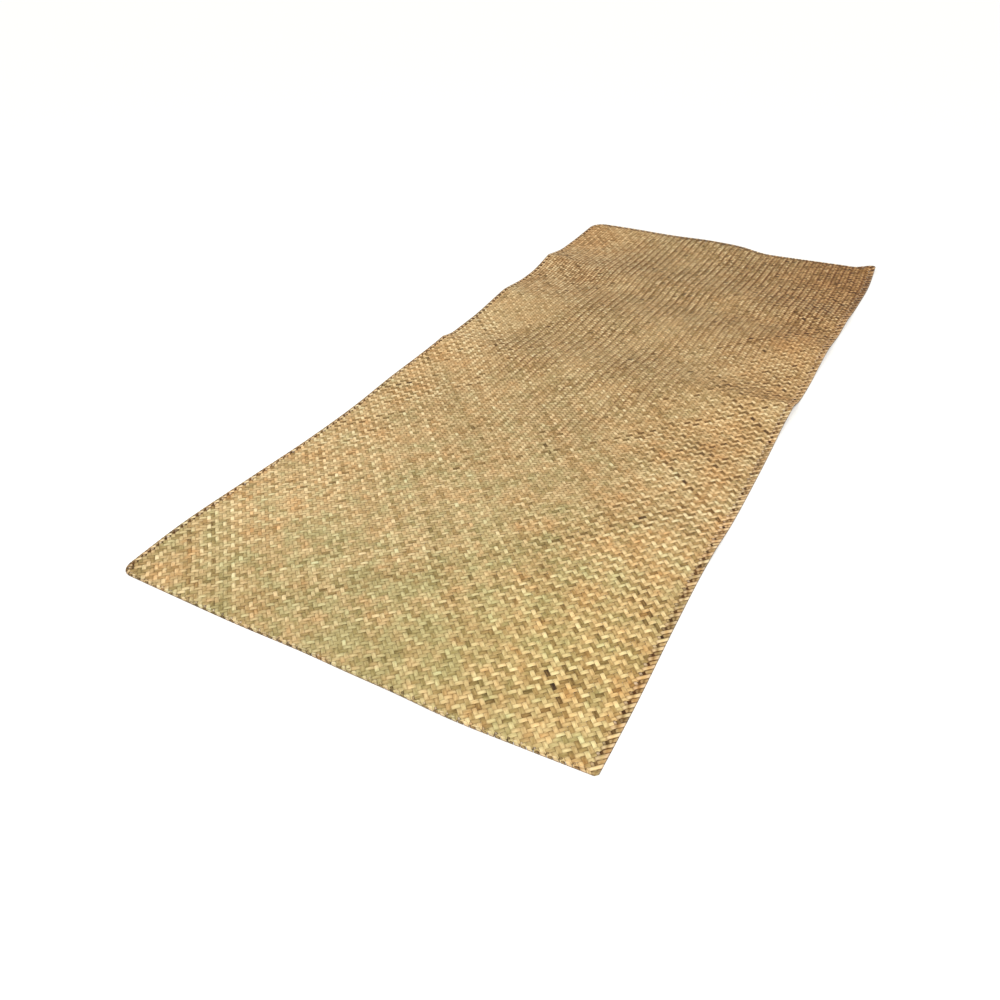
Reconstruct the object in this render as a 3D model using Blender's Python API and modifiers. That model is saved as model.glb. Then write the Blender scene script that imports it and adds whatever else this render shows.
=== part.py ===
# A plaited flax mat, lying on a floor: one sheet of flat strips with both long edges turned
# back, its near half flat and soft folds crossing its far half. Metres, +Z up, +Y along the
# mat from the near end to the far one. The origin is under the middle of the mat's box.
import math

import bmesh
import bpy
import numpy as np

# Driving dimensions
WIDTH = 1.200
LENGTH = 2.760
SHEET_THICK = 0.0024
EDGE_THICK = 0.0040  # where the strips are turned back along the two long edges
EDGE_WIDTH = 0.022
END_THICK = 0.0032  # the narrow fold along the two short ends
END_WIDTH = 0.009
STEP_WIDTH = 0.003  # over which a turned edge drops to the sheet

NEAR_CORNER_ROUND = 0.034  # the two left corners are rounded, the right ones are sharp
FAR_CORNER_ROUND = 0.056
TIP_LIFT = 0.016  # the far right corner curls up
TIP_REACH = 0.075

COLUMNS_BETWEEN_EDGES = 20

# How far each long edge stands out past the nominal width, by distance from the near end
SIDE_SWAY = (
    # along, left out, right out
    (0.00, 0.007, 0.002),
    (0.17, 0.014, 0.001),
    (0.43, 0.003, -0.006),
    (0.62, -0.007, -0.009),
    (0.85, -0.008, -0.003),
    (1.10, 0.003, -0.004),
    (1.36, 0.001, -0.007),
    (1.60, 0.007, 0.001),
    (1.85, 0.013, 0.003),
    (2.10, 0.019, 0.011),
    (2.35, 0.025, 0.019),
    (2.55, 0.028, 0.023),
    (2.76, 0.019, 0.013),
)

# How far the two ends stray from straight, and how high the far end stands off the floor
END_SWAY = (
    # across from the left, near end, far end, far end lifted
    (0.00, -0.019, -0.012, 0.015),
    (0.15, -0.020, -0.012, 0.015),
    (0.35, -0.020, -0.014, 0.014),
    (0.55, -0.016, -0.012, 0.018),
    (0.66, -0.017, -0.014, 0.015),
    (0.77, -0.017, -0.017, 0.001),
    (0.90, -0.019, -0.012, 0.000),
    (1.06, -0.011, -0.002, 0.000),
    (1.20, -0.003, 0.003, 0.000),
)
END_LIFT_REACH = 0.24

# Folds across the mat, where it was folded for storing. Each runs straight from the left edge
# to the right one, and falls away to the floor on both sides of its crest. It is keen at the
# two edges and soft between them.
FOLDS = (
    # name, left at, right at, left high, middle high, right high, near reach, far reach, keen
    ("faint", 0.695, 0.725, 0.000, 0.001, 0.004, 0.110, 0.090, 0.2),
    ("middle", 1.392, 1.462, 0.013, 0.010, 0.020, 0.290, 0.085, 0.8),
    ("second", 1.855, 1.905, 0.015, 0.008, 0.015, 0.260, 0.190, 0.4),
    ("third", 2.262, 2.182, 0.021, 0.010, 0.012, 0.170, 0.170, 0.6),
)
SOFT_FAR_REACH = 0.22  # of a fold in the middle of the mat
LEFT_FADE = 3.0  # how soon a fold turns soft inward from an edge
RIGHT_FADE = 1.6

# Lines across the mat that rows of faces follow, so that each crest is one clean line
ROW_LINES = (
    # left at, right at, rows of faces from the line before
    (0.695, 0.725, 8),
    (1.102, 1.172, 4),
    (1.392, 1.462, 9),
    (1.477, 1.547, 4),
    (1.610, 1.650, 3),
    (1.855, 1.905, 7),
    (2.070, 2.040, 6),
    (2.262, 2.182, 6),
    (2.470, 2.450, 7),
)
ROWS_TO_FAR_END = 7
END_ROWS = (0.0, 0.003, END_WIDTH, END_WIDTH + STEP_WIDTH, 0.022, 0.036)

STRAW = (0.50, 0.34, 0.16, 1.0)


def read_table(rows, column, at):
    """A smooth curve through a column of a table whose first column is the position."""
    place = np.array([row[0] for row in rows])
    value = np.array([row[column] for row in rows])
    slope = np.gradient(value, place)
    at = min(max(at, place[0]), place[-1])
    k = min(int(np.searchsorted(place, at, side="right")) - 1, len(place) - 2)
    span = place[k + 1] - place[k]
    t = (at - place[k]) / span
    rise = t * t * (3 - 2 * t)
    start = t * (1 - t) ** 2 * slope[k]
    end = t * t * (t - 1) * slope[k + 1]
    return value[k] + (value[k + 1] - value[k]) * rise + span * (start + end)


def mix(a, b, t):
    return a + (b - a) * t


def falling(t, keen):
    """1 at a fold's crest and 0 at its foot. A keen fold has a sharp crest."""
    if t >= 1:
        return 0.0
    return keen * (1 - t) ** 2 + (1 - keen) * (1 - t * t * (3 - 2 * t))


def near_end(across):
    return read_table(END_SWAY, 1, across)


def far_end(across):
    return LENGTH + read_table(END_SWAY, 2, across)


def fold_height(across, along):
    """How high the underside stands off the floor."""
    share = across / WIDTH
    at_edge = abs(2 * share - 1) ** (LEFT_FADE if share < 0.5 else RIGHT_FADE)
    height = 0.0
    for name, left_at, right_at, left, middle, right, near, far, keen in FOLDS:
        away = along - mix(left_at, right_at, share)
        crest = mix(middle, left if share < 0.5 else right, at_edge)
        reach = near if away < 0 else mix(max(far, SOFT_FAR_REACH), far, at_edge)
        height += crest * falling(abs(away) / reach, keen * at_edge)
    from_end = far_end(across) - along
    height += max(read_table(END_SWAY, 3, across), 0.0) * falling(from_end / END_LIFT_REACH, 0.3)
    from_tip = math.hypot(WIDTH - across, from_end)
    height += TIP_LIFT * falling(from_tip / TIP_REACH, 0.3)
    return height


def corner_inset(from_end, radius):
    """How far a rounded corner draws the long edge in, at a distance from the end."""
    short = min(max(radius - from_end, 0.0), radius)
    return radius - math.sqrt(radius * radius - short * short)


def left_edge(along):
    near = corner_inset(along - near_end(0.0), NEAR_CORNER_ROUND)
    far = corner_inset(far_end(0.0) - along, FAR_CORNER_ROUND)
    return -read_table(SIDE_SWAY, 1, along) + near + far


def right_edge(along):
    return WIDTH + read_table(SIDE_SWAY, 2, along)


def row_places():
    """Where each row lies: at a distance from an end, or between two lines across the mat."""
    inner = END_ROWS[-1]
    folds = [("line", (left_at, right_at)) for left_at, right_at, rows in ROW_LINES]
    lines = [("near", inner), *folds, ("far", inner)]
    counts = [*(rows for left_at, right_at, rows in ROW_LINES), ROWS_TO_FAR_END]
    places = [("near", from_end) for from_end in END_ROWS[:-1]]
    for before, after, count in zip(lines, lines[1:], counts):
        places += [("between", (before, after, k / count)) for k in range(count)]
    return places + [("far", from_end) for from_end in reversed(END_ROWS)]


def row_along(row, across):
    """How far along the mat a row is, at a place across it."""
    kind, value = row
    if kind == "near":
        return near_end(across) + value
    if kind == "far":
        return far_end(across) - value
    if kind == "line":
        return mix(value[0], value[1], across / WIDTH)
    before, after, share = value
    return mix(row_along(before, across), row_along(after, across), share)


def column_shares():
    """Columns as a distance from the left edge, a distance from the right one, or a share."""
    inner = EDGE_WIDTH + STEP_WIDTH
    left = [("left", distance) for distance in (0.0, EDGE_WIDTH, inner)]
    right = [("right", distance) for distance in (inner, EDGE_WIDTH, 0.0)]
    count = COLUMNS_BETWEEN_EDGES
    return left + [("share", k / count) for k in range(1, count)] + right


def column_across(column, left, right):
    kind, value = column
    if kind == "left":
        return left + value
    if kind == "right":
        return right - value
    inner = EDGE_WIDTH + STEP_WIDTH
    return mix(left + inner, right - inner, value)


def fabric():
    straw = bpy.data.materials.new("straw")
    straw.use_nodes = True
    shader = straw.node_tree.nodes["Principled BSDF"]
    shader.inputs["Base Color"].default_value = STRAW
    shader.inputs["Roughness"].default_value = 0.62
    shader.inputs["Metallic"].default_value = 0.0
    return straw


def make_mat(collection):
    rows = row_places()
    columns = column_shares()
    sheet = bmesh.new()
    bmesh.ops.create_grid(sheet, x_segments=len(columns) - 1, y_segments=len(rows) - 1, size=0.5)
    thick = sheet.verts.layers.deform.verify()
    for vert in sheet.verts:
        i = round((vert.co.x + 0.5) * (len(columns) - 1))
        j = round((vert.co.y + 0.5) * (len(rows) - 1))
        left = left_edge(row_along(rows[j], 0.0))
        right = right_edge(row_along(rows[j], WIDTH))
        across = column_across(columns[i], left, right)
        along = row_along(rows[j], across)
        vert.co = (across, along, fold_height(min(max(across, 0.0), WIDTH), along))
        on_edge = i in (0, 1, len(columns) - 2, len(columns) - 1)
        on_end = min(j, len(rows) - 1 - j) < END_ROWS.index(END_WIDTH) + 1
        height = EDGE_THICK if on_edge else END_THICK if on_end else SHEET_THICK
        vert[thick][0] = height / EDGE_THICK
    low = np.min([vert.co for vert in sheet.verts], axis=0)
    high = np.max([vert.co for vert in sheet.verts], axis=0)
    middle = (low + high) / 2
    bmesh.ops.translate(sheet, verts=sheet.verts, vec=(-middle[0], -middle[1], 0.0))
    mesh = bpy.data.meshes.new("mat")
    sheet.to_mesh(mesh)
    sheet.free()
    mesh.shade_smooth()
    mesh.materials.append(fabric())
    mat = bpy.data.objects.new("mat", mesh)
    collection.objects.link(mat)
    mat.vertex_groups.new(name="thickness")
    wall = mat.modifiers.new("strips and turned edges", "SOLIDIFY")
    wall.thickness = EDGE_THICK
    wall.offset = 1.0
    wall.use_even_offset = True
    wall.vertex_group = "thickness"
    return mat


def main():
    for old in list(bpy.data.objects):
        bpy.data.objects.remove(old, do_unlink=True)
    collection = bpy.data.collections.new("flax_mat")
    bpy.context.scene.collection.children.link(collection)
    make_mat(collection)


main()
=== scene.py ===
import math

import bpy
import numpy as np
from mathutils import Matrix, Vector


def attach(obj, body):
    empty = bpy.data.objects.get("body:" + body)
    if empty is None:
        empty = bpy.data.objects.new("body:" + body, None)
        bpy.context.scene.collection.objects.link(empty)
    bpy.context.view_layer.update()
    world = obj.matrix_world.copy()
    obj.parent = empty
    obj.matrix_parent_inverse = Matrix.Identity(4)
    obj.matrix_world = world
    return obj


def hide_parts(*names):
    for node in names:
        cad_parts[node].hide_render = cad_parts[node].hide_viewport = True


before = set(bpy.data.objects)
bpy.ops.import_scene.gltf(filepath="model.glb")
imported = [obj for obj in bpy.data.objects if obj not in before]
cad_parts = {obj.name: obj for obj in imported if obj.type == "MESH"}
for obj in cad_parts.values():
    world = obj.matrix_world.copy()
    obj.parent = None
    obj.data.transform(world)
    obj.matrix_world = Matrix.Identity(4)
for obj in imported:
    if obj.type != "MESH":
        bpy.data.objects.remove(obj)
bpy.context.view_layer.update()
print("flax mat: frame loaded")

# The mat as it lies, in metres. Across runs from the left long edge, along from the near end.
mat = {
    "width": 1.200,
    "length": 2.760,
    "nearCornerRound": 0.034,  # the two left corners
    "farCornerRound": 0.056,
    "endLiftReach": 0.24,
    "tipLift": 0.016,  # the far right corner curls up
    "tipReach": 0.075,
    "endKeen": 0.3,  # how sharply the far end and its tip turn up
    "softReach": 0.22,  # of a fold in the middle of the mat
    "leftFade": 3.0,  # how soon a fold turns soft inward from an edge
    "rightFade": 1.6,
    "ripple": 0.0022,  # unevenness of the parts that lie flat
    "rippleWaves": (
        # strength, then across, along and shift of each wave that it multiplies
        (1.0, (5.1, 3.3, 0.4), (-2.1, 4.3, 0.0)),
        (0.6, (3.0, 11.0, 1.0), (7.0, 0.0, 0.7)),
    ),
}
# How far each long edge stands out past the nominal width
sideSway = (
    # along, left out, right out
    (0.00, 0.007, 0.002),
    (0.17, 0.014, 0.001),
    (0.43, 0.003, -0.006),
    (0.62, -0.007, -0.009),
    (0.85, -0.008, -0.003),
    (1.10, 0.003, -0.004),
    (1.36, 0.001, -0.007),
    (1.60, 0.007, 0.001),
    (1.85, 0.013, 0.003),
    (2.10, 0.019, 0.011),
    (2.35, 0.025, 0.019),
    (2.55, 0.028, 0.023),
    (2.76, 0.019, 0.013),
)
endSway = (
    # across, near end, far end, far end lifted
    (0.00, -0.019, -0.012, 0.015),
    (0.15, -0.020, -0.012, 0.015),
    (0.35, -0.020, -0.014, 0.014),
    (0.55, -0.016, -0.012, 0.018),
    (0.66, -0.017, -0.014, 0.015),
    (0.77, -0.017, -0.017, 0.001),
    (0.90, -0.019, -0.012, 0.000),
    (1.06, -0.011, -0.002, 0.000),
    (1.20, -0.003, 0.003, 0.000),
)
folds = (
    # left at, right at, left high, middle high, right high, near reach, far reach, keen
    (0.695, 0.725, 0.000, 0.001, 0.004, 0.110, 0.090, 0.2),
    (1.392, 1.462, 0.013, 0.010, 0.020, 0.290, 0.085, 0.8),
    (1.855, 1.905, 0.015, 0.008, 0.015, 0.260, 0.190, 0.4),
    (2.262, 2.182, 0.021, 0.010, 0.012, 0.170, 0.170, 0.6),
)


def readTable(rows, column, at):
    place = np.array([row[0] for row in rows])
    value = np.array([row[column] for row in rows])
    slope = np.gradient(value, place)
    at = np.clip(at, place[0], place[-1])
    k = np.clip(np.searchsorted(place, at, side="right") - 1, 0, len(place) - 2)
    span = place[k + 1] - place[k]
    t = (at - place[k]) / span
    bend = t * (1 - t) ** 2 * slope[k] + t * t * (t - 1) * slope[k + 1]
    return value[k] + (value[k + 1] - value[k]) * t * t * (3 - 2 * t) + span * bend


def falling(t, keen):  # 1 at a fold's crest, 0 at its foot
    t = np.clip(t, 0, 1)
    return keen * (1 - t) ** 2 + (1 - keen) * (1 - t * t * (3 - 2 * t))


def foldHeight(across, along):
    share = across / mat["width"]
    atEdge = np.abs(2 * share - 1) ** np.where(share < 0.5, mat["leftFade"], mat["rightFade"])
    height = np.zeros_like(across)
    for leftAt, rightAt, left, middle, right, near, far, keen in folds:
        away = along - (leftAt + (rightAt - leftAt) * share)
        crest = middle + (np.where(share < 0.5, left, right) - middle) * atEdge
        softer = max(far, mat["softReach"])
        reach = np.where(away < 0, near, softer + (far - softer) * atEdge)
        height += crest * falling(np.abs(away) / reach, keen * atEdge)
    fromEnd = mat["length"] + readTable(endSway, 2, across) - along
    lift = np.maximum(readTable(endSway, 3, across), 0)
    height += lift * falling(fromEnd / mat["endLiftReach"], mat["endKeen"])
    fromTip = np.hypot(mat["width"] - across, fromEnd)
    return height + mat["tipLift"] * falling(fromTip / mat["tipReach"], mat["endKeen"])


def wavesAt(rows, s, t):
    total = np.zeros(np.shape(s))
    for strength, *waves in rows:
        total = total + strength * np.prod([np.sin(a * s + b * t + c) for a, b, c in waves], axis=0)
    return total


def ripple(s, t):  # slow rises of a few millimetres, never below the floor
    return mat["ripple"] * np.clip(0.55 + 0.5 * wavesAt(mat["rippleWaves"], s, t), 0, 2)


def findMiddle():  # of the box round the uneven outline
    along = np.linspace(0, mat["length"], 400)
    across = np.linspace(0, mat["width"], 400)
    left = -readTable(sideSway, 1, along).max()
    right = mat["width"] + readTable(sideSway, 2, along).max()
    near = readTable(endSway, 1, across).min()
    far = mat["length"] + readTable(endSway, 2, across).max()
    return np.array([left + right, near + far]) / 2


boxMiddle = findMiddle()


def layOut(s, t):  # from a place on the flat rectangle to the uneven mat on the floor
    near = readTable(endSway, 1, s)
    far = mat["length"] + readTable(endSway, 2, s)
    y = near + (far - near) * t / mat["length"]
    left = -readTable(sideSway, 1, y)
    right = mat["width"] + readTable(sideSway, 2, y)
    x = left + (right - left) * s / mat["width"]
    z = foldHeight(np.clip(x, 0, mat["width"]), y) + ripple(s, t)
    return np.stack([x - boxMiddle[0], y - boxMiddle[1], z], -1)


# Camera at the photo's place over the near right corner
view = {
    "fromNearLeft": (1.5146, -0.8925, 1.2895),
    "right": (0.87384, 0.48608, -0.01146),
    "down": (0.27767, -0.51825, -0.80890),
    "pictureWide": 1000,  # pixels
    "focal": 846.4,  # in the same pixels
    "sensor": 36,
}


def placeCamera():
    data = bpy.data.cameras.new("camera")
    data.sensor_width = view["sensor"]
    data.lens = view["focal"] / view["pictureWide"] * view["sensor"]
    camera = bpy.data.objects.new("camera", data)
    bpy.context.scene.collection.objects.link(camera)
    right = Vector(view["right"]).normalized()
    up = -Vector(view["down"])
    up = (up - right * up.dot(right)).normalized()
    turn = Matrix((right, up, right.cross(up))).transposed().to_4x4()
    place = Vector(view["fromNearLeft"]) - Vector((*boxMiddle, 0))
    camera.matrix_world = Matrix.Translation(place) @ turn
    bpy.context.scene.camera = camera


# A pale floor under a soft sky, with a wide sun and one lamp from the near end
studio = {
    "floor": (0.95, 0.95, 0.94),
    "floorSize": 80,
    "floorFinish": {"Roughness": 0.9, "Specular IOR Level": 0.1},
    "sky": (1.0, 0.99, 0.97),
    "skyPower": 0.50,
    "sun": (1.0, 0.985, 0.95),
    "sunPower": 2.62,
    "sunSize": 18,  # degrees
    "sunFrom": (0.30, -0.85, 0.95),
    "lampPower": 30,
    "lampSize": 1.6,
    "lampAt": (-0.3, -3.1, 2.6),
    "lampTo": (-0.1, -0.7, 0),
}


def aim(thing, place, target):
    back = (Vector(place) - Vector(target)).normalized()
    thing.matrix_world = Matrix.Translation(place) @ back.to_track_quat("Z", "Y").to_matrix().to_4x4()


def setLights():
    scene = bpy.context.scene
    scene.view_settings.view_transform = "Standard"
    world = bpy.data.worlds.new("soft sky")
    world.use_nodes = True
    sky = world.node_tree.nodes["Background"]
    sky.inputs["Color"].default_value = (*studio["sky"], 1)
    sky.inputs["Strength"].default_value = studio["skyPower"]
    scene.world = world
    sun = bpy.data.objects.new("sun", bpy.data.lights.new("sun", "SUN"))
    sun.data.color = studio["sun"]
    sun.data.energy = studio["sunPower"]
    sun.data.angle = math.radians(studio["sunSize"])
    aim(sun, studio["sunFrom"], (0, 0, 0))
    lamp = bpy.data.objects.new("lamp", bpy.data.lights.new("lamp", "AREA"))
    lamp.data.energy = studio["lampPower"]
    lamp.data.size = studio["lampSize"]
    aim(lamp, studio["lampAt"], studio["lampTo"])
    for light in (sun, lamp):
        scene.collection.objects.link(light)


def layFloor():
    bpy.ops.mesh.primitive_plane_add(size=studio["floorSize"], location=(0, 0, 0))
    floor = bpy.context.object
    floor.name = "floor"
    paint = bpy.data.materials.new("pale floor")
    paint.use_nodes = True
    shader = paint.node_tree.nodes["Principled BSDF"]
    shader.inputs["Base Color"].default_value = (*studio["floor"], 1)
    for name, value in studio["floorFinish"].items():
        shader.inputs[name].default_value = value
    floor.data.materials.append(paint)


placeCamera()
setLights()
layFloor()
print("flax mat: camera, lights and floor")

# Dried leaf. The attribute leaf holds tone, hue, painted shade, and wear with painted highlight at
# each place.
straw = {
    "tones": (
        # tone, colour
        (0.00, (0.050, 0.024, 0.012)),
        (0.22, (0.185, 0.108, 0.033)),
        (0.45, (0.415, 0.278, 0.108)),
        (0.65, (0.615, 0.435, 0.209)),
        (0.85, (0.820, 0.625, 0.330)),
        (1.00, (0.920, 0.765, 0.445)),
    ),
    "green": (0.80, 0.95, 0.92),
    "brown": (1.00, 0.79, 0.64),
    "golden": (1.00, 0.99, 0.86),  # yellower around one place near the right corner
    "goldenAt": (0.50, -1.17, 0.0),
    "goldenReach": (0.10, 0.58),
    # painted shade: the colour that the leaf's third channel darkens towards in gaps, undersides and
    # notches
    "paintedShade": (0.17, 0.095, 0.04),
    # pale colour of wear on raised bends, standing also for painted highlight there
    "wearAndHighlight": (0.86, 0.72, 0.55),
    "mottle": ((11, 1.25), (37, 0.95)),  # size per metre, strength
    "calmer": (-1.1, 0.2, 1.0, 0.35),  # from and to along the mat, and the mottle's share at each
    "fibre": ((22, 1500, 1), 3.0),  # how fine along and across a strip, detail
    "blotch": ((52, 190, 1), 2.0),
    "speck": ((150, 520, 1), 1.0),
    "fibreStrength": 0.45,
    "blotchStrength": 0.62,
    "speckFrom": 0.68,
    "speckKeen": 4.0,
    "speckColour": (0.12, 0.065, 0.03),
    "roughness": (0.46, 0.68),
    "roughnessFrom": (0.3, 0.7),  # of the blotches
    "shine": 0.28,
    "grain": {"Strength": 0.35, "Distance": 0.0003},
}


def addNode(tree, kind, inputs=(), **settings):
    node = tree.nodes.new(kind)
    for name, value in settings.items():
        setattr(node, name, value)
    for name, value in dict(inputs).items():
        if isinstance(value, bpy.types.NodeSocket):
            tree.links.new(value, node.inputs[name])
        else:
            node.inputs[name].default_value = value
    return node


def mathNode(tree, operation, first, second, clamp=False):
    inputs = {0: first, 1: second}
    return addNode(tree, "ShaderNodeMath", inputs, operation=operation, use_clamp=clamp).outputs[0]


def mixColour(tree, share, first, second, how="MIX"):
    inputs = {0: share, 6: first, 7: second}
    return addNode(tree, "ShaderNodeMix", inputs, data_type="RGBA", blend_type=how).outputs[2]


def swingOf(tree, noise, strength):  # as far to either side of nothing
    return mathNode(tree, "MULTIPLY", mathNode(tree, "SUBTRACT", noise, 0.5), strength)


def stripNoise(tree, uv, kind):
    scale, detail = straw[kind]
    mapped = addNode(tree, "ShaderNodeMapping", {"Vector": uv, "Scale": scale}).outputs[0]
    inputs = {"Vector": mapped, "Scale": 1.0, "Detail": detail}
    return addNode(tree, "ShaderNodeTexNoise", inputs).outputs[0]


def toneColour(tree, tone):
    ramp = addNode(tree, "ShaderNodeValToRGB", {0: tone})
    stops = ramp.color_ramp.elements
    while len(stops) < len(straw["tones"]):
        stops.new(0.5)
    for stop, (place, colour) in zip(stops, straw["tones"]):
        stop.position = place
        stop.color = (*colour, 1)
    return ramp.outputs[0]


def mottledHue(tree, hue, spread):
    alongMat = addNode(tree, "ShaderNodeSeparateXYZ", {0: spread}).outputs[1]
    limits = dict(enumerate((alongMat, *straw["calmer"])))
    calmer = addNode(tree, "ShaderNodeMapRange", limits).outputs[0]
    for scale, strength in straw["mottle"]:
        inputs = {"Vector": spread, "Scale": scale, "Detail": 1.0}
        cloud = addNode(tree, "ShaderNodeTexNoise", inputs).outputs[0]
        swing = mathNode(tree, "MULTIPLY", swingOf(tree, cloud, strength), calmer)
        hue = mathNode(tree, "ADD", hue, swing)
    return hue


def tintedColour(tree, colour, hue, spread):
    green = mathNode(tree, "MULTIPLY", mathNode(tree, "SUBTRACT", 0.5, hue), 2.0, clamp=True)
    brown = mathNode(tree, "MULTIPLY", mathNode(tree, "SUBTRACT", hue, 0.5), 2.0, clamp=True)
    places = {0: spread, 1: straw["goldenAt"]}
    away = addNode(tree, "ShaderNodeVectorMath", places, operation="DISTANCE").outputs[1]
    limits = dict(enumerate((away, *straw["goldenReach"], 1.0, 0.0)))
    golden = addNode(tree, "ShaderNodeMapRange", limits).outputs[0]
    for share, tint in ((green, "green"), (brown, "brown"), (golden, "golden")):
        colour = mixColour(tree, share, colour, (*straw[tint], 1), "MULTIPLY")
    return colour


def makeStraw():
    material = bpy.data.materials.new("straw")
    material.use_nodes = True
    tree = material.node_tree
    uv = addNode(tree, "ShaderNodeUVMap", uv_map="strip").outputs[0]
    spread = addNode(tree, "ShaderNodeTexCoord").outputs["Object"]
    leaf = addNode(tree, "ShaderNodeAttribute", attribute_name="leaf")
    parts = addNode(tree, "ShaderNodeSeparateColor", {0: leaf.outputs["Color"]})
    tone, hue, paintedShade = (parts.outputs[k] for k in range(3))
    fibre, blotch, speck = (stripNoise(tree, uv, kind) for kind in ("fibre", "blotch", "speck"))
    tone = mathNode(tree, "ADD", tone, swingOf(tree, fibre, straw["fibreStrength"]))
    tone = mathNode(tree, "ADD", tone, swingOf(tree, blotch, straw["blotchStrength"]), clamp=True)
    hue = mottledHue(tree, hue, spread)
    colour = tintedColour(tree, toneColour(tree, tone), hue, spread)
    spots = mathNode(tree, "SUBTRACT", speck, straw["speckFrom"], clamp=True)
    spots = mathNode(tree, "MULTIPLY", spots, straw["speckKeen"], clamp=True)
    colour = mixColour(tree, spots, colour, (*straw["speckColour"], 1))
    # wear and painted highlight on the raised bends of the turned edges
    colour = mixColour(tree, leaf.outputs["Alpha"], colour, (*straw["wearAndHighlight"], 1))
    # painted shade from the third channel of leaf
    colour = mixColour(tree, paintedShade, colour, (*straw["paintedShade"], 1), "MULTIPLY")
    limits = dict(enumerate((blotch, *straw["roughnessFrom"], *straw["roughness"])))
    rough = addNode(tree, "ShaderNodeMapRange", limits).outputs[0]
    bump = addNode(tree, "ShaderNodeBump", {**straw["grain"], "Height": fibre}).outputs[0]
    shader = tree.nodes["Principled BSDF"]
    shader.inputs["Specular IOR Level"].default_value = straw["shine"]
    for name, output in (("Base Color", colour), ("Roughness", rough), ("Normal", bump)):
        tree.links.new(output, shader.inputs[name])
    return material


strawMaterial = makeStraw()
print("flax mat: material ready")

# The turned edges. Where two values stand for one thing, the right edge's comes first.
border = {
    "sideWidth": 0.0205,  # on the right
    "leftWidth": 0.0125,
    "endWidth": 0.0090,
    "fill": 0.93,  # a turned strip's width as a share of its spacing
    "dullFill": 0.86,
    "dullReach": (0.61, 0.60),  # the dull ones end sooner, which leaves the notches
    "dullLower": 0.0004,
    "reachUneven": 0.06,
    "fillUneven": 0.04,
    "swing": 0.05,
    "heightUneven": 0.0001,
    "tones": ((0.05, -0.13), (0.20, -0.20)),  # pale and dull against the weave
    "toneUneven": 0.10,
    "agedTone": 0.08,  # darker past the first metre
    "hue": 0.14,
    "hueUneven": 0.15,
    # painted shade on the dull turned strips, which lie lower
    "dullShade": 0.12,
    "dullWearAndHighlight": 0.4,
    "farRight": (2.0, 2.4),  # along, over which painted shade darkens the right edge
    "farRightShadeTone": 0.10,
    "farRightShade": 0.22,
    "rimShades": (0.80, 0.85, 0.85, 0.60, 0.45, 0.30),  # painted shade on the fold's outer side, how dark round from the far right corner
    "crossingFill": 0.48,
    "crossingUneven": (0.12, 0.1),  # of the width and of the place
    "crossingFrom": 0.012,  # none nearer to a run's start
    "crossingAt": 0.93,  # share of the edge's width
    "leftShadePast": 0.002,  # how far the painted shade on the weave reaches past the turned strips
    "rightShadePast": 0.001,
    "notchShade": ((0.4, 1.1), (0.95, 0.72)),  # along, and how dark the painted shade under the right edge's notches is
    "notchUneven": 0.25,
    "notchLeast": 0.4,
    "farEndShade": (0.022, 0.016),  # from the far end, over which painted shade darkens the weave
    "farEndShadeMost": 0.60,
}
# The weave: strips at 45 degrees, each over two and under two
weave = {
    "stripsAcross": 94,  # met along a short end
    "stripsAlong": 207,  # met along a long edge
    "margin": 0.0028,  # between the strips' ends and the outline
    "fill": 0.965,  # a strip's width as a share of its pitch
    "widthUneven": (0.025, 0.015),  # from strip to strip, and along one
    "shiftUneven": (0.015, 0.015),
    "crown": 0.00075,
    "lift": 0.00065,  # half of the way from a strip's lower course to its upper one
    "bulge": 0.00025,
    "clear": 0.00012,  # under the lowest strips
    "lowest": 0.00004,
    "roll": 0.00014,
    "heightUneven": 0.00005,
    "flatHalf": 0.75,  # of a float, in strips
    "wander": 0.0030,
    "calmEdge": 0.12,
    "driftAcross": ((1.0, (0.0, 3.7, 1.0)), (0.5, (5.0, 9.1, 0.0))),  # waves, as for the ripple
    "driftAlong": ((1.0, (5.3, 0.0, 2.0)), (0.5, (8.3, -4.0, 1.0))),
    "rib": 0.00034,  # falling strips stand this much prouder in the far half
    "ribShadingTones": (-0.070, 0.035),  # rising, falling: painted shade on the rising strips, painted light on the falling ones
    # painted shade in the grooves beside the ribs
    "ribShade": 0.36,
    "ribShadeUneven": 0.22,
    "tone": 0.65,
    "apart": (0.18, -0.26),  # a pale course and a dull one, where they contrast
    "floatTone": 0.06,  # how far floats differ
    "floatHue": 0.08,
    "evener": ((0.3, 1.4), (1.0, 0.42)),  # along, how far hues differ
    "dappleTone": 0.20,
    # painted shade in the gaps of dappled patches
    "dappleShade": 0.50,
    "endShade": 0.08,  # painted shade at the ends of a float that lies on top
    "sideShade": (0.09, 0.36),  # painted shade along a strip's sides: near end, far half
    "dashShade": 0.26,  # painted shade along the sides of the rising strips left of the middle
    "dashAcross": (0.55, 0.95),
    "dashAlong": (0.15, 0.45),
    "uvStep": 0.0371,  # no two strips have the same fibres
    "seed": 11,
}
# The leaves of which a course is laid
leafKinds = {
    "length": (0.45, 1.25),
    "toneUneven": 0.055,
    "hueUneven": 0.13,
    "strength": (0.35, 1.45),  # of the contrast between pale and dull
    "stained": 0.05,  # share of them
    "stainLength": (0.03, 0.14),
    "stainTone": (-0.26, -0.14),
    "bright": 0.025,
    "brightTone": (0.10, 0.17),
}
halfAcross = mat["width"] / weave["stripsAcross"] / 2
halfAlong = mat["length"] / weave["stripsAlong"] / 2
pitch = math.hypot(halfAcross, halfAlong)
chance = np.random.default_rng(weave["seed"])

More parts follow.
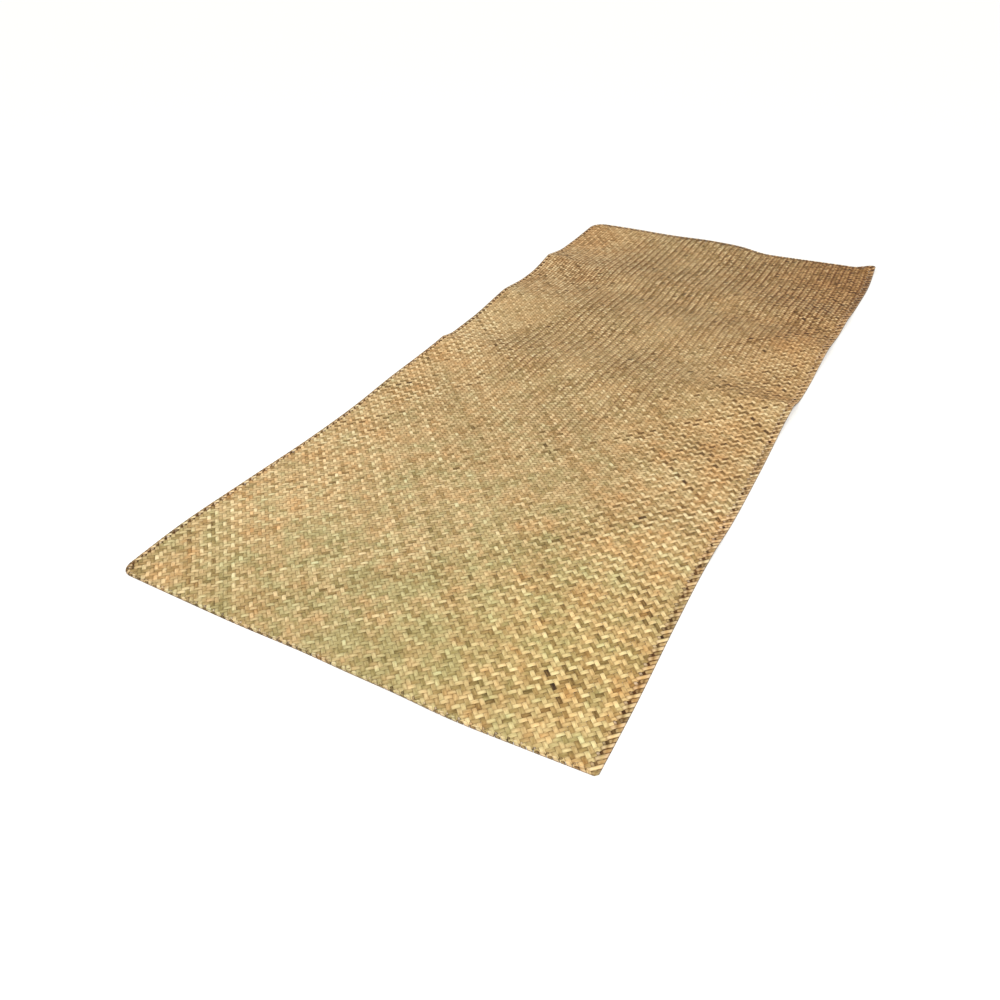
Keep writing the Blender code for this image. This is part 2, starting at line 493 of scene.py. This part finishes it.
# Single leaves that stand out
oddLeaves = (
    # rising, course, from and to across, tone, hue
    (False, 93, 1.00, 1.08, -0.16, -0.10),
    (False, 93, 1.08, 1.20, -0.27, 0.30),
    (False, 6, 0.03, 0.08, 0.14, 0.08),
    (False, 7, 0.03, 0.09, 0.24, 0.10),
    (False, 9, 0.03, 0.12, 0.28, 0.10),
    (False, 10, 0.03, 0.10, 0.15, 0.08),
    (False, 11, 0.04, 0.14, 0.26, 0.08),
    (False, 13, 0.06, 0.14, 0.16, 0.15),
    (False, 14, 0.08, 0.19, 0.16, -0.12),
    (False, 22, 0.02, 0.14, 0.16, 0.00),
    (False, 26, 0.04, 0.20, 0.15, 0.05),
    (False, 28, 0.02, 0.38, 0.25, -0.04),
    (False, 33, 0.08, 0.20, 0.14, 0.10),
    (False, 57, 0.05, 0.48, 0.25, -0.05),
    (False, 69, 0.16, 0.58, 0.23, -0.02),
    (False, 88, 0.18, 0.42, 0.16, 0.05),
    (False, 99, 0.70, 0.84, 0.15, 0.05),
    (False, 87, 0.14, 0.32, 0.16, 0.06),
    (False, 196, 0.02, 0.26, 0.20, 0.10),
    (False, 199, 0.03, 0.22, 0.20, 0.10),
    (False, 202, 0.03, 0.40, 0.22, 0.04),
    (True, -49, 0.12, 0.27, -0.24, 0.10),
    (True, 66, 0.98, 1.14, 0.16, 0.05),
)
# Broad changes of colour: green where the leaf was cut young, brown where it has aged,
# and painted shade behind one fold's crest. Light and dull courses stand apart most in the near right
# part.
patches = (
    # across, along, reach, hue, tone, contrast, dapple
    (0.62, 0.42, 0.55, -0.36, -0.02, 0.00, 0.0),
    (0.95, 0.22, 0.34, -0.10, 0.00, 0.10, 0.0),
    (0.10, 0.45, 0.36, 0.04, 0.04, 0.36, 0.0),
    (0.22, 0.22, 0.26, -0.22, -0.03, 0.05, 0.0),
    (0.13, 0.64, 0.14, 0.20, 0.00, 0.00, 0.0),
    (0.05, 1.02, 0.15, 0.10, 0.03, 0.60, 0.0),
    (0.05, 0.74, 0.12, 0.10, 0.04, 0.50, 0.0),
    (1.12, 0.10, 0.42, 0.08, 0.02, 0.40, 0.1),
    (1.16, 0.70, 0.34, 0.14, -0.02, 0.66, 0.1),
    (1.12, 1.20, 0.30, 0.16, 0.02, 0.82, 0.1),
    (1.16, 2.35, 0.60, 0.36, -0.02, 0.15, 0.1),
    (0.04, 1.50, 0.20, 0.10, 0.08, 0.75, 0.0),
    (0.05, 1.32, 0.13, 0.26, 0.00, 0.25, 0.0),
    (0.06, 2.08, 0.26, 0.24, 0.07, 0.30, 0.6),
    (0.16, 2.26, 0.20, 0.22, 0.11, 0.25, 0.7),
    (0.05, 2.60, 0.22, 0.65, 0.00, 0.25, 0.5),
    (1.10, 1.66, 0.18, 0.36, 0.05, 0.85, 0.3),
    # painted shade behind the crest of the fold near the right edge: this row and the next three
    # darken the tone
    (1.16, 1.50, 0.05, 0.45, -0.11, 0.00, 0.0),
    (1.07, 1.49, 0.06, 0.35, -0.12, 0.00, 0.0),
    (0.97, 1.48, 0.06, 0.16, -0.10, 0.00, 0.0),
    (0.87, 1.47, 0.06, 0.00, -0.08, 0.00, 0.0),
    (1.05, 1.33, 0.07, 0.25, 0.00, 0.20, 0.1),
    (0.94, 1.36, 0.06, -0.25, -0.04, 0.00, 0.0),
    (1.12, 1.95, 0.15, 0.55, -0.05, 0.40, 0.2),
    (1.12, 2.25, 0.17, 0.24, 0.06, 0.60, 0.4),
    (1.15, 2.62, 0.24, 0.75, -0.09, 0.35, 0.4),
    (0.075, 0.055, 0.08, -0.04, -0.08, 0.00, 0.0),
    (0.00, 0.00, 0.07, 0.40, -0.16, 0.20, 0.0),
    (0.05, 1.20, 0.30, 0.14, 0.00, 0.20, 0.0),
    (0.60, 2.00, 0.70, 0.02, 0.01, 0.00, 0.1),
    (0.36, 0.02, 0.17, -0.30, -0.06, 0.00, 0.0),
    (0.68, 0.04, 0.17, -0.56, -0.03, 0.00, 0.0),
    (1.15, 0.07, 0.09, 0.00, 0.04, 0.00, 0.0),
    (0.66, 0.24, 0.18, -0.18, 0.00, 0.00, 0.0),
    (0.98, 0.33, 0.09, 0.00, 0.04, 0.00, 0.0),
    (0.90, 0.25, 0.06, 0.00, -0.05, 0.00, 0.0),
    (1.04, 0.57, 0.09, 0.00, 0.05, 0.00, 0.0),
    (1.14, 0.84, 0.12, 0.08, 0.05, 0.00, 0.0),
    (0.79, 0.50, 0.09, -0.20, 0.00, 0.00, 0.0),
    (1.05, 1.13, 0.16, 0.32, -0.05, 0.00, 0.0),
    (0.85, 1.05, 0.12, 0.04, -0.04, 0.00, 0.0),
    (0.77, 0.77, 0.10, 0.00, -0.06, 0.00, 0.0),
    (0.98, 0.73, 0.13, 0.22, -0.05, 0.00, 0.0),
    (0.98, 1.60, 0.08, 0.10, -0.05, 0.00, 0.0),
    (0.39, 1.02, 0.10, 0.00, -0.04, 0.00, 0.0),
    (0.17, 0.43, 0.13, 0.24, 0.04, 0.00, 0.0),
    (0.27, 0.17, 0.08, -0.18, -0.02, 0.00, 0.0),
)


# The weave is pulled longer beside the near part of the right edge
weavePull = (
    # along, weave carried on by
    (0.00, 0.000),
    (0.18, 0.000),
    (0.50, 0.018),
    (0.85, 0.038),
    (1.05, 0.036),
    (1.45, 0.010),
    (1.75, 0.000),
    (2.76, 0.000),
)
pullAcross = (0.65, 1.15)
# Where the falling strips stand out as ribs, by distances across and along
ribs = {
    "begin": (0.6, 1.5),  # along
    "least": 0.05,
    "strongerFrom": (1.9, 2.4),  # along
    "stronger": 0.4,
    "waves": ((0.30, (13, 3, 0), (0, 9, 1)), (0.18, (31, -12, 0))),
    "rightPart": (0.7, 1.0),  # across, as far along as the next line says
    "rightEnd": (1.6, 2.1),
    "rightLoss": 0.75,
    "rim": (1.0, 1.15),  # across
    "rimLoss": 0.35,
    "leftPart": (0.12, 0.34),  # across, two metres along
    "leftSlant": 0.1,
    "leftLoss": 0.92,
}


def between(value, start, stop):  # 0 up to start, 1 from stop on
    return np.clip((value - start) / (stop - start), 0, 1)


def ribShare(s, t):
    share = np.maximum(between(t, *ribs["begin"]), ribs["least"])
    share += ribs["stronger"] * between(t, *ribs["strongerFrom"])
    share *= 1 + wavesAt(ribs["waves"], s, t)
    right = between(s, *ribs["rightPart"]) * (1 - between(t, *ribs["rightEnd"]))
    share *= 1 - ribs["rightLoss"] * right
    share *= 1 - ribs["rimLoss"] * between(s, *ribs["rim"])
    left = 1 - between(s - ribs["leftSlant"] * (t - 2), *ribs["leftPart"])
    return share * (1 - ribs["leftLoss"] * left)


def broadColour(s, t):
    total = np.zeros((4, *np.shape(s)))
    total[0] += 0.04
    total[2] += 0.07
    for across, along, reach, *change in patches:
        near = np.exp(-((s - across) ** 2 + (t - along) ** 2) / reach ** 2)
        total += np.multiply.outer(change, near)
    return total


def stretched(s, t):
    return t + readTable(weavePull, 1, t) * between(s, *pullAcross) ** 1.5


def wander(s, t):  # the weave's lines drift a little, but not at the edges
    fromEdge = np.minimum.reduce([s, mat["width"] - s, t, mat["length"] - t])
    size = weave["wander"] * np.clip(fromEdge / weave["calmEdge"], 0, 1)
    ds, dt = (size * wavesAt(weave[way], s, t) for way in ("driftAcross", "driftAlong"))
    return s + ds, stretched(s, t) + dt


def insideMat(s, t):
    margin = weave["margin"]
    width, length = mat["width"] - margin, mat["length"] - margin
    inside = (s > margin) & (s < width) & (t > margin) & (t < length)
    near, far = mat["nearCornerRound"], mat["farCornerRound"]
    for radius, cornerAlong, way in ((near, margin, 1), (far, length, -1)):
        ds = margin + radius - s
        dt = radius - way * (t - cornerAlong)
        inside &= ~((ds > 0) & (dt > 0) & (np.hypot(ds, dt) > radius))
    return inside


def latticePlace(rising, index, a):  # a: place along the strip, in strips
    if rising:
        return (index + a) * halfAcross, (a - index) * halfAlong
    return (a + index) * halfAcross, (index - a) * halfAlong


def stripEnds(rising, index):
    a = np.arange(-320.0, 640.0, 0.05)  # past both ends of every course
    s, t = latticePlace(rising, index, a)
    a = a[insideMat(s, stretched(s, t))]
    return (a[0], a[-1]) if len(a) > 40 else None  # one under two strips long is left out


def meshFromRings(name, parts, inward, hardLines):
    # Each part has places, uvs and leaf values for the rings of points round one strip
    places, uvs, leaves = (
        np.concatenate([v.reshape(-1, v.shape[-1]) for v in kind]) for kind in zip(*parts)
    )
    ring = parts[0][0].shape[1]
    faces, count = [], 0
    for rings, _, _ in parts:
        ids = count + np.arange(len(rings) * ring).reshape(-1, ring)
        beside = np.roll(ids, -1, 1)
        quads = np.stack([ids[:-1], beside[:-1], beside[1:], ids[1:]], -1).reshape(-1, 4)
        first, last = ids[:1, ::-1], ids[-1:]
        if inward:
            quads, first, last = quads[:, (0, 3, 2, 1)], first[:, ::-1], last[:, ::-1]
        faces += [quads, first, last]
        count += ids.size
    corners = np.concatenate([face.ravel() for face in faces])
    sizes = np.concatenate([np.full(len(face), face.shape[1]) for face in faces])
    mesh = bpy.data.meshes.new(name)
    mesh.vertices.add(len(places))
    mesh.vertices.foreach_set("co", places.astype(np.float32).ravel())
    mesh.loops.add(len(corners))
    mesh.loops.foreach_set("vertex_index", corners.astype(np.int32))
    mesh.polygons.add(len(sizes))
    starts = np.concatenate([[0], np.cumsum(sizes)[:-1]])
    mesh.polygons.foreach_set("loop_start", starts.astype(np.int32))
    mesh.update(calc_edges=True)
    layer = mesh.uv_layers.new(name="strip")
    layer.data.foreach_set("uv", uvs[corners].astype(np.float32).ravel())
    tint = mesh.attributes.new("leaf", "FLOAT_COLOR", "POINT")
    tint.data.foreach_set("color", np.clip(leaves, 0, 1).astype(np.float32).ravel())
    ends = np.empty(2 * len(mesh.edges), np.int32)
    mesh.edges.foreach_get("vertices", ends)
    ends = ends.reshape(-1, 2) % ring
    sharp = mesh.attributes.new("sharp_edge", "BOOLEAN", "EDGE")
    sharp.data.foreach_set("value", (ends[:, 0] == ends[:, 1]) & np.isin(ends[:, 0], hardLines))
    mesh.polygons.foreach_set("use_smooth", np.ones(len(sizes), bool))
    mesh.materials.append(strawMaterial)
    mesh.validate()
    thing = bpy.data.objects.new(name, mesh)
    bpy.context.scene.collection.objects.link(thing)
    return thing


def leafPieces(length):
    # A course of the weave is many leaves long, so its colour changes where a new one is laid in
    cuts, tones, hues, strengths = [0.0], [], [], []
    while cuts[-1] < length:
        kind = chance.random()
        size = chance.uniform(*leafKinds["length"])
        tone = chance.normal(0.0, leafKinds["toneUneven"])
        if kind < leafKinds["stained"]:
            size = chance.uniform(*leafKinds["stainLength"])
            tone = chance.uniform(*leafKinds["stainTone"])
        elif kind < leafKinds["stained"] + leafKinds["bright"]:
            tone = chance.uniform(*leafKinds["brightTone"])
        cuts.append(cuts[-1] + size)
        tones.append(tone)
        hues.append(chance.normal(0.0, leafKinds["hueUneven"]))
        strengths.append(chance.uniform(*leafKinds["strength"]))
    return (np.array(values) for values in (cuts[1:], tones, hues, strengths))


def overAndUnder(rising, index, low, high):
    # A turn is four strips long, with three places on top and then three underneath
    flat = weave["flatHalf"]
    steps = np.array([-flat, 0, flat, 2 - flat, 2, 2 + flat])
    course = (
        (1, 1, 1, 0, 0, 0),  # level
        (0, weave["bulge"], 0, 0, 0, 0),  # rise
        (weave["endShade"], 0, weave["endShade"], 1, 0, 1),  # painted shade at a top float's ends and where the strip runs under others
        (1, 0, 0, 0, 0, 0) if rising else (0, 0, 1, 0, 0, 0),  # painted shade in a rib's groove
    )
    phase = 0.5 - index if rising else 2.5 - index
    turns = np.arange(math.floor((low - phase) / 4) - 1, math.ceil((high - phase) / 4) + 2)
    a = (phase + 4 * turns[:, None] + steps).ravel()
    keep = (a > low + 0.12) & (a < high - 0.12)
    inner = np.concatenate([[low], a[keep], [high]])
    course = [np.interp(inner, a, np.tile(np.array(row, float), len(turns))) for row in course]
    number = np.repeat(np.arange(2 * len(turns)), 3)[keep]
    return inner, course, np.concatenate([number[:1], number, number[-1:]])


def paintedGapShade(s, t, course, prouder, dapple, perFloat):
    # painted shade: at float ends, on the parts under other strips, in rib grooves, in dappled gaps,
    # under the turned edges and near the far end
    level, rise, shade, grooveShade = course
    grooveShade = prouder * (weave["ribShade"] + weave["ribShadeUneven"] * perFloat[:, 2]) * grooveShade
    shade = np.minimum(shade + grooveShade, 1)
    shade = np.where((level > 0.5) & (rise == 0), shade + weave["dappleShade"] * dapple, shade)
    # Painted shade under the turned edges, where only the notches show the weave
    shade = np.where(s < border["leftWidth"] + border["leftShadePast"], 1.0, shade)
    notchShade = np.interp(t, *border["notchShade"]) + border["notchUneven"] * perFloat[:, 3]
    underRight = s > mat["width"] - border["sideWidth"] - border["rightShadePast"]
    shade = np.where(underRight, np.clip(notchShade, border["notchLeast"], 1), shade)
    start, stop = (mat["length"] - away for away in border["farEndShade"])
    return np.maximum(shade, border["farEndShadeMost"] * between(t, start, stop))


def stripLook(rising, index, s, t, run, course, prouder, perFloat):
    cuts, tones, hues, strengths = leafPieces(run[-1])
    which = np.searchsorted(cuts, run)
    broadHue, broadTone, contrast, dapple = broadColour(s, t)
    for isRising, oddCourse, start, stop, toneThere, hueThere in oddLeaves:
        if isRising == rising and oddCourse == index:
            here = (s > start) & (s < stop)
            broadTone[here] += toneThere
            broadHue[here] += hueThere
    tone = weave["tone"] + tones[which] + broadTone
    tone += contrast * strengths[which] * weave["apart"][index % 2]
    # painted shade on the rising strips and painted light on the falling ones, where the ribs stand
    # out
    tone += prouder * weave["ribShadingTones"][0 if rising else 1]
    tone += weave["floatTone"] * (1 + prouder) * perFloat[:, 2]
    tone += weave["dappleTone"] * dapple * np.maximum(perFloat[:, 3], -0.9)
    evener = np.interp(t, *weave["evener"])
    hue = evener * (hues[which] + weave["floatHue"] * perFloat[:, 3]) + broadHue
    shade = paintedGapShade(s, t, course, prouder, dapple, perFloat)
    look = np.stack([tone, 0.5 + 0.5 * hue, shade, np.zeros(len(s))], 1)
    look = np.repeat(look[:, None], 3, 1)
    # painted shade along the sides of every strip, with dashes of it beside the rising ones
    sideShades = np.interp(prouder, (0, 1), weave["sideShade"])
    if rising:
        dashShades = (1 - between(s, *weave["dashAcross"])) * between(t, *weave["dashAlong"])
        sideShades += weave["dashShade"] * dashShades * np.clip(1 - prouder, 0, 1)
    look[:, (0, 2), 2] += sideShades[:, None]
    return look


def uneven(kind, count):
    fromStripToStrip, within = weave[kind]
    return chance.normal(0, fromStripToStrip) + chance.normal(0, within, count)


def weaveStrip(rising, index, ends):
    low, high = ends
    a, course, number = overAndUnder(rising, index, low, high)
    level, rise = course[:2]
    s, t = latticePlace(rising, index, a)
    width = weave["fill"] * pitch * (1 + uneven("widthUneven", len(a)))
    shift = pitch * uneven("shiftUneven", len(a))
    perFloat = chance.normal(0, 1, (number.max() + 1, 4))[number]
    roll = weave["roll"] * perFloat[:, 0]
    prouder = ribShare(s, t)
    height = weave["clear"] + 2 * weave["lift"] * level + rise
    height += weave["heightUneven"] * np.abs(perFloat[:, 1])
    height += prouder * weave["rib"] * level * (-1 if rising else 1)
    places = []
    for side, extra in ((0.5, roll), (0.0, weave["crown"]), (-0.5, -roll)):
        away = (shift + side * width) / math.sqrt(2)
        place = layOut(*wander(s + (-1 if rising else 1) * away, t + away))
        place[:, 2] += np.maximum(height + extra, weave["lowest"])
        places.append(place)
    run = (a - low) * pitch
    across = index * weave["uvStep"] + np.stack([-width / 2, 0 * width, width / 2], 1)
    uv = np.stack([np.repeat(run[:, None], 3, 1), across], -1)
    return np.stack(places, 1), uv, stripLook(rising, index, s, t, run, course, prouder, perFloat)


def weaveStrips(rising, pale):
    across, along = weave["stripsAcross"], weave["stripsAlong"]
    low, high = (-along, across) if rising else (0, along + across)
    parts = []
    for index in range(low, high + 1):
        ends = stripEnds(rising, index) if (index % 2 == 0) == pale else None
        if ends:
            parts.append(weaveStrip(rising, index, ends))
    name = f"{'pale' if pale else 'dull'}_strips_{'rising' if rising else 'falling'}"
    return meshFromRings(name, parts, False, (0, 2))


strips = [weaveStrips(rising, pale) for rising in (True, False) for pale in (True, False)]
print("flax mat: strips woven,", sum(len(s.data.polygons) for s in strips), "faces")

# The turned edges: every strip folds over at the edge and runs back to a row of notches.
# Sections of a turned strip from its notch (0) to the fold (1), and of the short ends that
# cross the notches the other way. Heights are over the mat's underside, in metres.
profile = {
    "turned": (
        # share of the width, height at a side, height at an end, painted shade, wear with painted
        # highlight
        (-0.08, 0.0010, 0.0008, 1.00, 0.0),
        (0.00, 0.0020, 0.0016, 0.90, 0.0),
        (0.09, 0.0034, 0.0026, 0.25, 0.2),
        (0.22, 0.0037, 0.0029, 0.00, 0.2),
        (0.46, 0.0032, 0.0027, 0.05, 0.0),
        (0.70, 0.0031, 0.0026, 0.00, 0.1),
        (0.88, 0.0028, 0.0024, 0.00, 0.4),
        (0.97, 0.0021, 0.0018, 0.30, 0.3),
        (1.00, 0.0012, 0.0010, 0.80, 0.0),
    ),
    "crossing": (
        # place along it in metres, then as above
        (-0.0078, 0.0012, 0.0009, 1.00, 0.0),
        (-0.0040, 0.0032, 0.0025, 0.40, 0.3),
        (0.0000, 0.0036, 0.0029, 0.00, 0.8),
        (0.0035, 0.0031, 0.0025, 0.35, 0.4),
        (0.0064, 0.0014, 0.0011, 1.00, 0.0),
    ),
    "across": (-0.5, -0.32, 0.0, 0.32, 0.5),
    "drop": (0.00090, 0.00016, 0.0, 0.00016, 0.00090),
    # painted shade along the sides of a turned strip and on its underside
    "sideShade": (0.50, 0.05, 0.0, 0.05, 0.50, 1.0, 1.0),
    "thick": 0.0011,
    "lowestTop": 0.0003,
    "clear": 0.00003,
    "thinnest": 0.0002,
}


def edgePath():  # pieces of the outline, counter-clockwise from the near right corner
    width, length = mat["width"], mat["length"]
    near, far = mat["nearCornerRound"], mat["farCornerRound"]
    quarter = math.pi / 2
    return (
        # length, starting point or centre, first direction, radius
        (length, (width, 0), quarter, 0),
        (width - far, (width, length), 2 * quarter, 0),
        (quarter * far, (far, length - far), quarter, far),
        (length - far - near, (0, length - far), 3 * quarter, 0),
        (quarter * near, (near, near), 2 * quarter, near),
        (width - near, (near, 0), 4 * quarter, 0),
    )


def onPath(pieces, run):
    # places on the outline and the way inward, for distances run along it
    s, t, inS, inT = (np.zeros_like(run) for _ in range(4))
    start = 0.0
    for number, (length, (pointS, pointT), angle, radius) in enumerate(pieces):
        here = run >= start if number else np.full(run.shape, True)
        away = run[here] - start
        turn = angle + away / radius if radius else np.full(away.shape, angle)
        goS, goT = np.cos(turn), np.sin(turn)
        if radius:
            values = pointS + radius * goS, pointT + radius * goT, -goS, -goT
        else:
            values = pointS + away * goS, pointT + away * goT, -goT, goS
        for target, value in zip((s, t, inS, inT), values):
            target[here] = value
        start += length
    return s, t, inS, inT


def sideShareAt(width):  # 0 at the ends of the mat, 1 at its long edges
    return between(width, border["endWidth"], border["leftWidth"])


def edgeRibbon(pieces, run, depth, rows, sideShare, lower, atFold, look):
    # run and depth: places of the top's points along the outline and in from it
    height = rows[:, 2] + (rows[:, 1] - rows[:, 2]) * sideShare - lower
    s, t, inS, inT = onPath(pieces, run)
    top = layOut(s + inS * depth, t + inT * depth)
    low = top[:, [4, 0]].copy()
    base = low[..., 2].copy()
    top[..., 2] += np.maximum(height[:, None] - np.array(profile["drop"]), profile["lowestTop"])
    clear = profile["clear"]
    under = np.where(atFold, clear, np.maximum(height - profile["thick"], clear))
    highest = top[:, [4, 0], 2] - base - profile["thinnest"]
    low[..., 2] = base + np.minimum(under[:, None], highest)
    tone, hue, paintedShade, wearAndHighlight = look
    n = len(rows)
    # painted shade from the rows and the look, and wear with painted highlight
    leaf = np.stack([np.full(n, tone), np.full(n, hue), rows[:, 3] + paintedShade, rows[:, 4] * wearAndHighlight], 1)
    leaf = np.repeat(leaf[:, None], 7, 1)
    leaf[..., 2] += np.array(profile["sideShade"])
    return np.concatenate([top, low], 1), leaf


def ribbonUv(distance, wide):
    across = np.array(profile["across"])
    across = np.concatenate([across, across[[4, 0]] * 1.2]) * wide
    uv = np.stack(np.broadcast_arrays(distance[:, None], across[None]), -1)
    return uv + (chance.uniform(0, 3), chance.uniform(0, 3))


def turnedStrip(pieces, at, width, spacing, start, pale, rim, look):
    rows = np.array(profile["turned"])
    # painted shade: on the fold's outer side along the rims, across the middle of some strips at
    # random, and a random share of it at the notch
    rows[:, 3] += rim * (rows[:, 0] > 0.6)
    rows[4, 3] += chance.choice((0.0, 0.5))
    rows[:3, 3] *= chance.uniform(0.6, 1.0)
    across = np.array(profile["across"])
    sideShare = sideShareAt(width)
    width = width * (1 + chance.normal(0, border["reachUneven"]))
    if not pale:
        width = width * border["dullReach"][0 if rim == 0 else 1]
    width = min(width, max(at - start, 0.002))
    wide = spacing * border["fill" if pale else "dullFill"]
    wide = wide * (1 + chance.normal(0, border["fillUneven"]))
    square = min(1.0, width / spacing) * np.clip(1 - rows[:, 0] / 0.8, 0, 1)
    swing = chance.normal(0, border["swing"]) * (1 - rows[:, :1]) * spacing
    depth = width * (1 - rows[:, :1]) + across * wide / 2 * square[:, None]
    run = np.maximum(at - depth + swing + across * wide, start)
    lower = chance.normal(0, border["heightUneven"]) * (rows[:, 0] < 0.6)
    lower = lower + (0.0 if pale else border["dullLower"])
    ring, leaf = edgeRibbon(pieces, run, depth, rows, sideShare, lower, rows[:, 0] > 0.8, look)
    return ring, ribbonUv(rows[:, 0] * width * math.sqrt(2), wide), leaf


def crossingEnd(pieces, at, width, spacing, start, look):
    rows = np.array(profile["crossing"])
    across = np.array(profile["across"])
    sideShare = sideShareAt(width)
    wideUneven, placeUneven = border["crossingUneven"]
    wide = spacing * border["crossingFill"] * (1 + chance.normal(0, wideUneven))
    distance = rows[:, :1] * (0.55 + 0.45 * sideShare) * (1 + chance.normal(0, placeUneven))
    inward = width * border["crossingAt"]
    depth = inward + (distance + across * wide) / math.sqrt(2)
    run = np.maximum(at - inward + (distance - across * wide) / math.sqrt(2), start)
    ring, leaf = edgeRibbon(pieces, run, depth, rows, sideShare, 0.0, False, look)
    return ring, ribbonUv(rows[:, 0], wide), leaf


def turnedLook(s, t, pale, onRight):  # tone, hue, painted shade, and wear with painted highlight
    broadHue, broadTone = broadColour(s, t)[:2]
    far = between(t, *border["farRight"]) if onRight else 0.0
    tones = border["tones"][0 if onRight else 1]
    tone = chance.normal(tones[0 if pale else 1], border["toneUneven"])
    tone += weave["tone"] + broadTone
    # painted shade on the far part of the right edge, in tone and in the shade channel
    tone -= border["agedTone"] * between(t, 1.0, 2.0) + border["farRightShadeTone"] * far
    hue = broadHue + border["hue"] + chance.normal(0, border["hueUneven"])
    paintedShade = (0.0 if pale else border["dullShade"]) + border["farRightShade"] * far
    return tone, 0.5 + 0.5 * hue, paintedShade, 1.0 if pale else border["dullWearAndHighlight"]


def crossingLook(t, onRight, look):
    tone, hue = look[:2]
    # painted shade on the short ends in the notches, stronger along the left edge past 0.9 m; their
    # pale wear and painted highlight is random
    crossingShade = 0.1 if onRight else 0.1 + 0.6 * between(t, 0.9, 1.9)
    tone += chance.uniform(-0.2, 0.2)
    return tone, hue, crossingShade, chance.uniform(0.0, 0.8) * (1.1 - crossingShade)


def bandRun(name, pieces, marks, widths, rimShades):
    # widths and rims: distances along the outline, then the values there
    onRight = name == "right_edge"
    start = marks[0]
    parts = []
    for number, at in enumerate(marks[1:-1], 1):
        spacing = (marks[number + 1] - marks[number - 1]) / 2
        pale = number % 2 == 0
        width, rim = float(np.interp(at, *widths)), float(np.interp(at, *rimShades))
        s, t = (place[0] for place in onPath(pieces, np.array([at]))[:2])
        look = turnedLook(s, t, pale, onRight)
        parts.append(turnedStrip(pieces, at, width, spacing, start, pale, rim, look))
        if not pale and at - start > width + border["crossingFrom"]:
            look = crossingLook(t, onRight, look)
            parts.append(crossingEnd(pieces, at, width, spacing, start, look))
    return meshFromRings(name, parts, True, (5, 6))


def foldEdges():
    pieces = edgePath()
    begins = np.cumsum([piece[0] for piece in pieces])
    marks = np.arange(weave["stripsAlong"] + 1) * 2 * halfAlong
    marks = stretched(np.full(len(marks), mat["width"]), marks)
    right = bandRun("right_edge", pieces[:1], marks, ((0,), (border["sideWidth"],)), ((0,), (0,)))
    end, left = border["endWidth"], border["leftWidth"]
    whole = round((begins[5] - begins[0]) / (2 * pitch / math.sqrt(2)))
    marks = np.linspace(begins[0], begins[5], whole + 1)
    widths = begins, (end, end, left, left, end, end)
    return [right, bandRun("other_edges", pieces, marks, widths, (begins, border["rimShades"]))]


edges = foldEdges()
print("flax mat: edges folded,", sum(len(e.data.polygons) for e in edges), "faces")

for piece in strips + edges:
    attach(piece, "root")
    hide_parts("mat")

print("flax mat: done")
